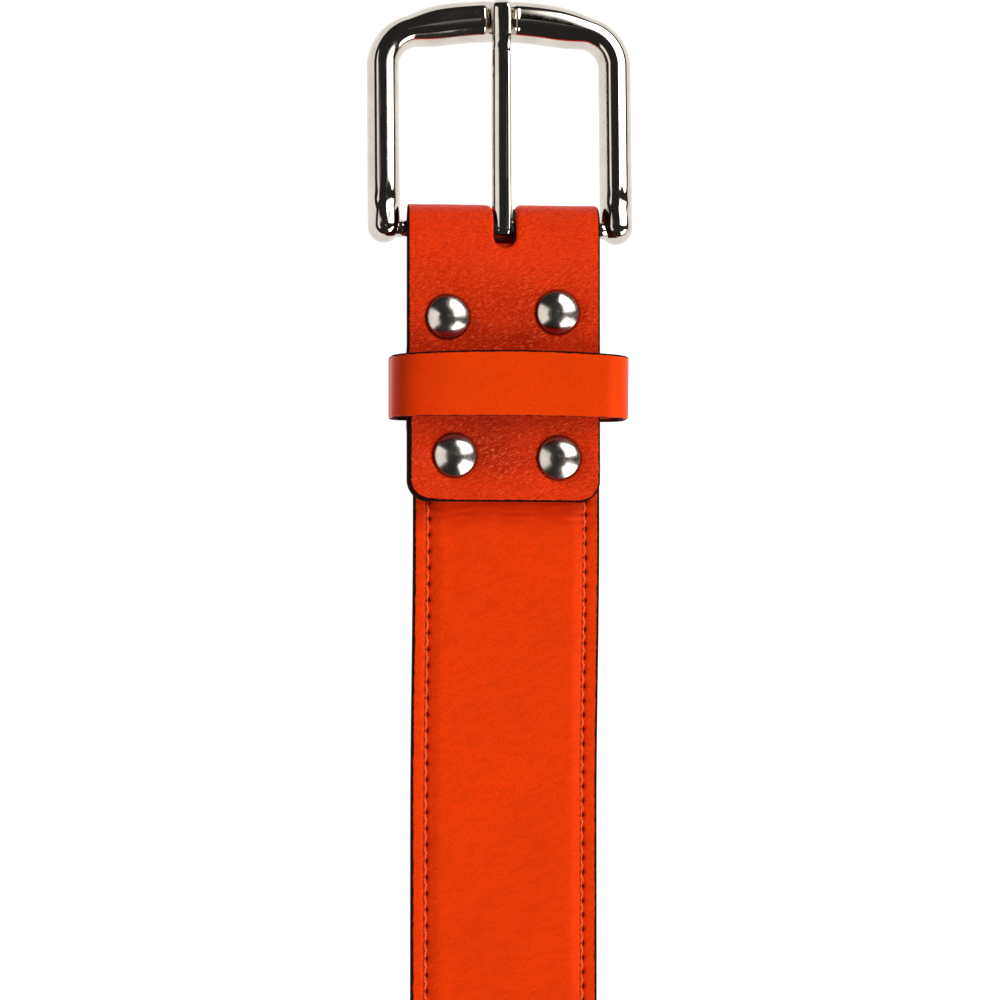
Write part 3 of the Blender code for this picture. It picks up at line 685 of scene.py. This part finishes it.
def make_keeper():
    half = KEEPER_THICKNESS / 2
    low, high = KEEPER_LOW[2] + half, KEEPER_HIGH[2] - half
    mid_x = (KEEPER_LOW[0] + KEEPER_HIGH[0]) / 2
    wide = (KEEPER_HIGH[0] - KEEPER_LOW[0]) / 2 - half
    mid_y = (KEEPER_LOW[1] + KEEPER_HIGH[1]) / 2
    path = [(x, low) for x in np.linspace(0.2, wide - 3.4, 12)]
    for radius, centre, start in ((3.2, low + 3.2, -90), (4.5, high - 4.5, 0)):
        path += [(wide - radius + radius * math.cos(a), centre + radius * math.sin(a))
                 for a in np.radians(np.linspace(start, start + 90, 22))]
        if start < 0:
            path += [(wide, z) for z in np.linspace(low + 3.6, high - 4.9, 8)]
    path += [(x, high) for x in np.linspace(wide - 4.9, 0, 26)]
    path = np.array(path)
    path = np.concatenate((path, path[-2::-1] * (-1, 1)))
    ahead = np.gradient(path, axis=0)
    ahead /= np.linalg.norm(ahead, axis=1)[:, None]
    normal = np.stack((ahead[:, 1], -ahead[:, 0]), axis=-1)
    reach = (KEEPER_HIGH[1] - KEEPER_LOW[1]) / 2
    near = np.array([0, 0.03, 0.08, 0.15, 0.24, 0.35, 0.5, 0.7, 1.0])
    across = np.concatenate((-reach + near, np.linspace(-reach + 1.5, reach - 1.5, 17), (reach - near)[::-1]))
    edge = reach - np.abs(across)
    topness = smooth((path[:, 1] - 8) / (high - 8))
    rows, paint = [], []
    for (px, pz), (nx, nz), top in zip(path, normal, topness):
        section, marks = [], []
        for sign, places in ((1, across), (-1, across[::-1])):
            away = reach - np.abs(places)
            out = sign * (half - roundover(away, 0.42))
            bow = 0.9 * top * (1 - (px / wide) ** 2) - 0.15
            lean = math.radians(7) * top
            y = places * math.cos(lean) + bow * (0.35 + 0.65 * smooth((places + reach) / (2 * reach)))
            z = pz + nz * out + places * math.sin(lean) - 0.45 * top
            section.append(np.stack((mid_x + px + nx * out + 0 * places, mid_y + y, z), axis=-1))
            seen = np.where(places < 0, away + 0.35, away)
            marks.append(seen if sign > 0 else np.where(places < 0, away - 0.1, away))
        rows.append(np.concatenate(section))
        paint.append(np.concatenate(marks))
    rows, paint = np.array(rows), np.array(paint)
    # Painted shade: the keeper darkens towards its left end.
    tone_and_painted_shade = 0.60 * smooth((mid_x - 7.0 - rows[..., 0]) / 18)
    return put("keeper_loop", rows, attributes={"edge_mm": paint, "painted_shade_marks": 0 * paint, "tone_and_painted_shade": tone_and_painted_shade})


# Rivets


def lathe(name, centre, profile):
    """A round body about an upright axis, from its profile of (radius, height)."""
    return prism(name, [(z, ring(centre[0], centre[1], r, 56)) for r, z in profile])


def make_rivet(name, centre):
    """A pressed dome with a rolled rim, sunk a little into the leather, on its post."""
    bottom = cad(f"rivet_cap_{name}")[0][2]
    seat = TAB_TOP - CAP_SUNK
    ball = (CAP_RADIUS - 0.16) / math.sin(CAP_SLOPE)
    dome = [(ball * math.sin(a), seat + 0.66 + ball * (math.cos(a) - math.cos(CAP_SLOPE)))
            for a in np.linspace(CAP_SLOPE, 0.006, 30)]
    rim = [(CAP_RADIUS - 0.5, seat), (CAP_RADIUS - 0.2, seat + 0.04), (CAP_RADIUS - 0.04, seat + 0.2),
           (CAP_RADIUS, seat + 0.38), (CAP_RADIUS - 0.04, seat + 0.55)]
    cap = lathe(f"rivet_dome_{name}", centre, [(1.2, bottom), (1.2, seat), *rim, *dome])
    low, high = (corner[2] for corner in cad(f"rivet_back_{name}"))
    flat = low + BACK_CAP_HEIGHT
    button = [(0.05, low), (2.2, low + 0.02), (2.8, low + 0.1), (3.1, low + 0.3), (BACK_CAP_RADIUS, low + 0.6),
              (BACK_CAP_RADIUS - 0.05, flat)]
    socket = [(1.9, flat), (1.9, high - 0.1), (1.8, high), (1.6, high), (1.5, high - 0.1), (1.5, flat),
              (0.05, flat)]
    return cap, lathe(f"rivet_base_{name}", centre, button + socket)


# Materials


def new_material(name):
    made = bpy.data.materials.new(name)
    made.use_nodes = True
    nodes, links = made.node_tree.nodes, made.node_tree.links
    return made, nodes, links, nodes["Principled BSDF"]


def texture(nodes, links, kind, size, stretch=(1, 1, 1), turn=0.0, **settings):
    """A procedural texture in the piece's own coordinates: size in millimetres, stretched, then turned."""
    place_at = nodes.new("ShaderNodeTexCoord")
    mapping = nodes.new("ShaderNodeMapping")
    mapping.vector_type = "TEXTURE"
    mapping.inputs["Scale"].default_value = [s * size * MM for s in stretch]
    mapping.inputs["Rotation"].default_value = (0, 0, math.radians(turn))
    links.new(place_at.outputs["Object"], mapping.inputs["Vector"])
    made = nodes.new(kind)
    made.inputs["Scale"].default_value = 1.0
    links.new(mapping.outputs["Vector"], made.inputs["Vector"])
    for key, value in settings.items():
        made.inputs[key.replace("_", " ")].default_value = value
    return made


def maths(nodes, links, operation, a, b):
    made = nodes.new("ShaderNodeMath")
    made.operation = operation
    for socket, value in zip(made.inputs, (a, b)):
        if isinstance(value, (int, float)):
            socket.default_value = value
        else:
            links.new(value, socket)
    return made.outputs[0]


def spread(nodes, links, value, low, high, to_low=0.0, to_high=1.0):
    made = nodes.new("ShaderNodeMapRange")
    made.inputs["From Min"].default_value = low
    made.inputs["From Max"].default_value = high
    made.inputs["To Min"].default_value = to_low
    made.inputs["To Max"].default_value = to_high
    links.new(value, made.inputs["Value"])
    return made.outputs["Result"]


def mix(nodes, links, share, a, b):
    made = nodes.new("ShaderNodeMix")
    made.data_type = "RGBA"
    if isinstance(share, (int, float)):
        made.inputs["Factor"].default_value = share
    else:
        links.new(share, made.inputs["Factor"])
    for socket, value in ((made.inputs["A"], a), (made.inputs["B"], b)):
        if isinstance(value, tuple):
            socket.default_value = (*value, 1)
        else:
            links.new(value, socket)
    return made.outputs["Result"]


def bump(nodes, links, height, distance, strength, normal=None):
    made = nodes.new("ShaderNodeBump")
    made.inputs["Distance"].default_value = distance * MM
    made.inputs["Strength"].default_value = strength
    links.new(height, made.inputs["Height"])
    if normal is not None:
        links.new(normal, made.inputs["Normal"])
    return made.outputs["Normal"]


def leather(name, colour, deep, grain, grain_depth, wrinkle, wrinkle_depth, roughness, shine, crest):
    """Dyed leather with pores, fine wrinkles, painted shade and highlights, and a black painted cut edge.

    Its attributes are edge_mm, the distance from a painted edge; a share of painted shade, which also deepens
    the wrinkles and paints their crests lighter; and a share of painted shade in needle holes and round the
    caps.
    """
    made, nodes, links, shader = new_material(name)
    pores = texture(nodes, links, "ShaderNodeTexVoronoi", grain)
    pores.feature = "SMOOTH_F1"
    fine = texture(nodes, links, "ShaderNodeTexNoise", grain * 0.7, Detail=3.0)
    folds = texture(nodes, links, "ShaderNodeTexNoise", wrinkle, (1.7, 0.62, 1), 24, Detail=3.0, Distortion=0.9)
    cloud = texture(nodes, links, "ShaderNodeTexNoise", 14, Detail=2.0)
    shade = spread(nodes, links, cloud.outputs["Fac"], 0.32, 0.68)
    base = mix(nodes, links, shade, colour, tuple(c * 0.90 for c in colour))
    pits = spread(nodes, links, fine.outputs["Fac"], 0.42, 0.60, 0.0, 0.35)
    base = mix(nodes, links, pits, base, deep)
    # Painted shade in the wrinkle valleys.
    valleys = spread(nodes, links, folds.outputs["Fac"], 0.36, 0.56, min(wrinkle_depth * 2.2, 0.6), 0.0)
    base = mix(nodes, links, valleys, base, deep)
    # Painted shade: the leather is darkened by its painted shade share.
    base = mix(nodes, links, attribute(nodes, "tone_and_painted_shade"), base, tuple(c * 0.85 for c in deep))
    # Painted highlights on the wrinkle crests, where the painted shade share is high.
    crests = spread(nodes, links, folds.outputs["Fac"], 0.54, 0.68, 0.0, crest)
    painted_crest_highlight = maths(nodes, links, "MULTIPLY", crests, attribute(nodes, "tone_and_painted_shade"))
    base = mix(nodes, links, painted_crest_highlight, base, (1.0, 0.19, 0.07))
    # Painted shade in the needle holes and painted contact shadow round the caps.
    painted_hole_and_rim_shade = spread(nodes, links, attribute(nodes, "painted_shade_marks"), 0.18, 0.52, 0.0, 0.97)
    base = mix(nodes, links, painted_hole_and_rim_shade, base, (0.070, 0.001, 0.001))
    brush = texture(nodes, links, "ShaderNodeTexNoise", 1.3, Detail=2.0)
    uneven = spread(nodes, links, brush.outputs["Fac"], 0.3, 0.7, -0.09, 0.09)
    line = maths(nodes, links, "ADD", attribute(nodes, "edge_mm"), uneven)
    paint = spread(nodes, links, line, 0.36, 0.44, 1.0, 0.0)
    base = mix(nodes, links, paint, base, (0.006, 0.003, 0.003))
    links.new(base, shader.inputs["Base Color"])
    rough = spread(nodes, links, fine.outputs["Fac"], 0.3, 0.7, roughness - 0.06, roughness + 0.08)
    links.new(maths(nodes, links, "MAXIMUM", rough, paint), shader.inputs["Roughness"])
    worked = spread(nodes, links, attribute(nodes, "tone_and_painted_shade"), 0.0, 0.6, 0.45, 1.5)
    creases = maths(nodes, links, "MULTIPLY", folds.outputs["Fac"], worked)
    normal = bump(nodes, links, creases, wrinkle_depth, 1.0)
    normal = bump(nodes, links, pores.outputs["Distance"], grain_depth, 0.5, normal)
    normal = bump(nodes, links, fine.outputs["Fac"], grain_depth * 0.8, 0.4, normal)
    links.new(normal, shader.inputs["Normal"])
    shader.inputs["Specular IOR Level"].default_value = shine
    shader.inputs["Specular Tint"].default_value = (1.0, 0.42, 0.20, 1)
    return made


def attribute(nodes, name):
    made = nodes.new("ShaderNodeAttribute")
    made.attribute_name = name
    return made.outputs["Fac"]


def thread_material():
    made, nodes, links, shader = new_material("thread")
    twist = texture(nodes, links, "ShaderNodeTexWave", 0.5, Distortion=0.4)
    twist.bands_direction = "DIAGONAL"
    fuzz = texture(nodes, links, "ShaderNodeTexNoise", 0.18, Detail=2.0)
    base = mix(nodes, links, twist.outputs["Fac"], (0.85, 0.060, 0.010), (1.0, 0.17, 0.040))
    links.new(base, shader.inputs["Base Color"])
    normal = bump(nodes, links, twist.outputs["Fac"], 0.06, 0.6)
    links.new(bump(nodes, links, fuzz.outputs["Fac"], 0.03, 0.4, normal), shader.inputs["Normal"])
    shader.inputs["Roughness"].default_value = 0.55
    shader.inputs["Specular Tint"].default_value = (1.0, 0.55, 0.35, 1)
    shader.inputs["Sheen Weight"].default_value = 0.25
    shader.inputs["Sheen Roughness"].default_value = 0.4
    shader.inputs["Sheen Tint"].default_value = (1.0, 0.35, 0.2, 1)
    return made


def nickel(name, low, high, scratch, depth):
    """Polished plate: hairline scratches and a faint haze."""
    made, nodes, links, shader = new_material(name)
    lines = texture(nodes, links, "ShaderNodeTexNoise", 0.5, scratch, 4, Detail=5.0, Roughness=0.7)
    haze = texture(nodes, links, "ShaderNodeTexNoise", 4.0, Detail=3.0)
    both = maths(nodes, links, "MULTIPLY", lines.outputs["Fac"], haze.outputs["Fac"])
    links.new(spread(nodes, links, both, 0.15, 0.40, low, high), shader.inputs["Roughness"])
    clouded = spread(nodes, links, haze.outputs["Fac"], 0.35, 0.65)
    tone_and_painted_shade = mix(nodes, links, clouded, (0.64, 0.59, 0.535), (0.56, 0.515, 0.465))
    links.new(tone_and_painted_shade, shader.inputs["Base Color"])
    links.new(bump(nodes, links, lines.outputs["Fac"], depth, 0.3), shader.inputs["Normal"])
    shader.inputs["Metallic"].default_value = 1.0
    return made


def board_material():
    made, nodes, links, shader = new_material("filler_board")
    fibre = texture(nodes, links, "ShaderNodeTexNoise", 0.3, (0.33, 2, 1), Detail=5.0)
    tone_and_painted_shade = mix(nodes, links, fibre.outputs["Fac"], (0.24, 0.15, 0.09), (0.46, 0.33, 0.22))
    links.new(tone_and_painted_shade, shader.inputs["Base Color"])
    links.new(bump(nodes, links, fibre.outputs["Fac"], 0.08, 0.5), shader.inputs["Normal"])
    shader.inputs["Roughness"].default_value = 0.9
    return made


def floor_material():
    """A pale sweep that glows a little, as a lit table does, so that shadows on it stay faint."""
    made, nodes, links, shader = new_material("pale_floor")
    shader.inputs["Base Color"].default_value = (0.12, 0.12, 0.12, 1)
    shader.inputs["Roughness"].default_value = 0.9
    shader.inputs["Specular IOR Level"].default_value = 0.0
    shader.inputs["Emission Color"].default_value = (1.0, 0.99, 0.98, 1)
    shader.inputs["Emission Strength"].default_value = 1.02
    return made


# Stage


def panel(name, azimuths, elevations, fade, glow, target, slant=0.0):
    """A curved reflector round the target: a patch of a sphere that glows, dimming towards its edges.

    Azimuth 0 is +X and 90 is +Y, elevation is above the floor; both in degrees, fade as well. The
    patch's top comes down by slant degrees from its first azimuth to its last.
    """
    az, el = (np.linspace(low, high, 49) for low, high in (azimuths, elevations))
    level = np.outer(smooth((el - elevations[0]) / fade), dimming(az, azimuths, fade))
    top = elevations[1] - slant * (az - azimuths[0]) / (azimuths[1] - azimuths[0])
    level = level * smooth((top[None, :] - el[:, None]) / fade)
    a, e = np.radians(az)[None, :], np.radians(el)[:, None]
    away = np.stack(np.broadcast_arrays(np.cos(a) * np.cos(e), np.sin(a) * np.cos(e), np.sin(e)), axis=-1)
    made = put(name, away * PANEL_DISTANCE, wrap=False, caps=False, attributes={"glow": level})
    made.location = target
    made.visible_camera = False
    material, nodes, links, shader = new_material(name)
    nodes.remove(shader)
    lit = nodes.new("ShaderNodeEmission")
    lit.inputs["Color"].default_value = (1.0, 0.985, 0.96, 1)
    links.new(maths(nodes, links, "MULTIPLY", attribute(nodes, "glow"), glow), lit.inputs["Strength"])
    links.new(lit.outputs["Emission"], nodes["Material Output"].inputs["Surface"])
    made.data.materials.append(material)


def dimming(angles, limits, fade):
    return smooth((angles - limits[0]) / fade) * smooth((limits[1] - angles) / fade)


def make_stage():
    target = Vector((0, BAR[1] - 55.0, 6)) * MM
    scene = bpy.context.scene
    mesh = bpy.data.meshes.new("floor")
    far = FLOOR_REACH * MM
    mesh.from_pydata([(-far, -far, 0), (far, -far, 0), (far, far, 0), (-far, far, 0)], [], [(0, 1, 2, 3)])
    floor = bpy.data.objects.new("floor", mesh)
    floor.location = (0, 0, -0.0002)
    scene.collection.objects.link(floor)
    floor.data.materials.append(floor_material())
    panel("upper_right_panel", (11, 78), (23, 67), 5, 4.7, target, 15.0)
    panel("lower_right_panel", (-67, -16), (10, 60), 6, 4.7, target)
    panel("left_panel", (140, 222), (24, 68), 9, 1.25, target)
    panel("ceiling_card", (20, 85), (76, 83), 2, 0.22, target)
    scene.world = make_world()
    scene.view_settings.view_transform = "Standard"
    data = bpy.data.cameras.new("camera")
    camera = bpy.data.objects.new("camera", data)
    scene.collection.objects.link(camera)
    scene.camera = camera
    lean_left, lean_tail, distance = math.radians(7), math.radians(3.2), VIEW_DISTANCE * MM
    toward = Vector((-math.tan(lean_left), -math.tan(lean_tail), 1)).normalized()
    centre = Vector((-0.2 * MM, (BAR[1] - 55.2) * MM, 6 * MM))
    camera.location = centre + toward * distance
    camera.rotation_mode = "QUATERNION"
    back = toward
    right = Vector((0, 1, 0)).cross(back).normalized()
    up = back.cross(right)
    camera.rotation_quaternion = Matrix((right, up, back)).transposed().to_quaternion()
    data.sensor_width = SENSOR_WIDTH
    data.lens = SENSOR_WIDTH * VIEW_DISTANCE / VIEW_WIDTH


def make_world():
    """A dim room that looks pale where the camera sees past the floor."""
    world = bpy.data.worlds.new("studio")
    world.use_nodes = True
    nodes, links = world.node_tree.nodes, world.node_tree.links
    ray = nodes.new("ShaderNodeLightPath")
    tone_and_painted_shade = mix(nodes, links, ray.outputs["Is Camera Ray"], (0.026, 0.025, 0.025), (1.0, 1.0, 1.0))
    links.new(tone_and_painted_shade, nodes["Background"].inputs["Color"])
    return world


def dress(piece, body, slot, material, *nodes):
    """Gives a piece its finish and its body, and hides the CAD nodes that it stands for."""
    piece.data.materials.clear()
    piece.data.materials.append(material)
    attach(piece, body)
    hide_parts(*nodes)


# Each leather's colour, deep colour (also its painted shade), grain size and depth, wrinkle size and depth,
# roughness, shine and painted crest highlights
LEATHERS = {
    "strap_leather": ((0.96, 0.050, 0.0005), (0.52, 0.013, 0.0005), 0.42, 0.028, 2.4, 0.08, 0.46, 0.22, 0.0),
    "tab_leather": ((0.99, 0.046, 0.0008), (0.56, 0.009, 0.0008), 0.36, 0.05, 0.55, 0.60, 0.34, 0.30, 1.6),
    "keeper_leather": ((0.92, 0.058, 0.0005), (0.62, 0.020, 0.0005), 0.40, 0.014, 3.0, 0.05, 0.40, 0.22, 0.0),
    "lining_leather": ((0.66, 0.042, 0.006), (0.44, 0.018, 0.003), 0.55, 0.05, 2.0, 0.10, 0.62, 0.22, 0.0),
}


def main():
    make_stage()
    strap, tab, loop, lining = (leather(name, *look) for name, look in LEATHERS.items())
    thread = thread_material()
    chrome = nickel("polished_nickel", 0.05, 0.13, (0.5, 9, 1), 0.004)
    rivet_metal = nickel("rivet_nickel", 0.13, 0.28, (0.5, 2.5, 1), 0.012)
    dress(make_strap_skin("strap_face_skin", True), "strap", "strap_leather", strap, "strap_face")
    dress(make_strap_skin("strap_lining_skin", False), "strap", "lining_leather", lining, "strap_lining")
    for word, side, pitch in (("left", -1, LEFT_PITCH), ("right", 1, RIGHT_PITCH)):
        for part, top in (("face", True), ("back", False)):
            stitches = make_thread(f"{part}_stitches_{word}", side, pitch, top)
            dress(stitches, "strap", "thread", thread, f"{part}_thread_{word}")
    dress(make_tab(), "strap", "tab_leather", tab, "buckle_tab")
    dress(make_keeper(), "keeper", "keeper_leather", loop, "keeper")
    dress(make_frame(), "buckle", "polished_nickel", chrome, "buckle_frame")
    dress(make_bar(), "buckle", "polished_nickel", chrome, "heel_bar")
    dress(make_prong(), "prong", "polished_nickel", chrome, "prong")
    for name, centre in RIVETS.items():
        cap, base = make_rivet(name, centre)
        dress(cap, "strap", "rivet_nickel", rivet_metal, f"rivet_cap_{name}")
        dress(base, "strap", "rivet_nickel", rivet_metal, f"rivet_back_{name}")
    for node, finish in (("strap_core", board_material()), ("keeper_staple", rivet_metal)):
        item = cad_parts[node]
        item.data.materials.clear()
        item.data.materials.append(finish)


main()
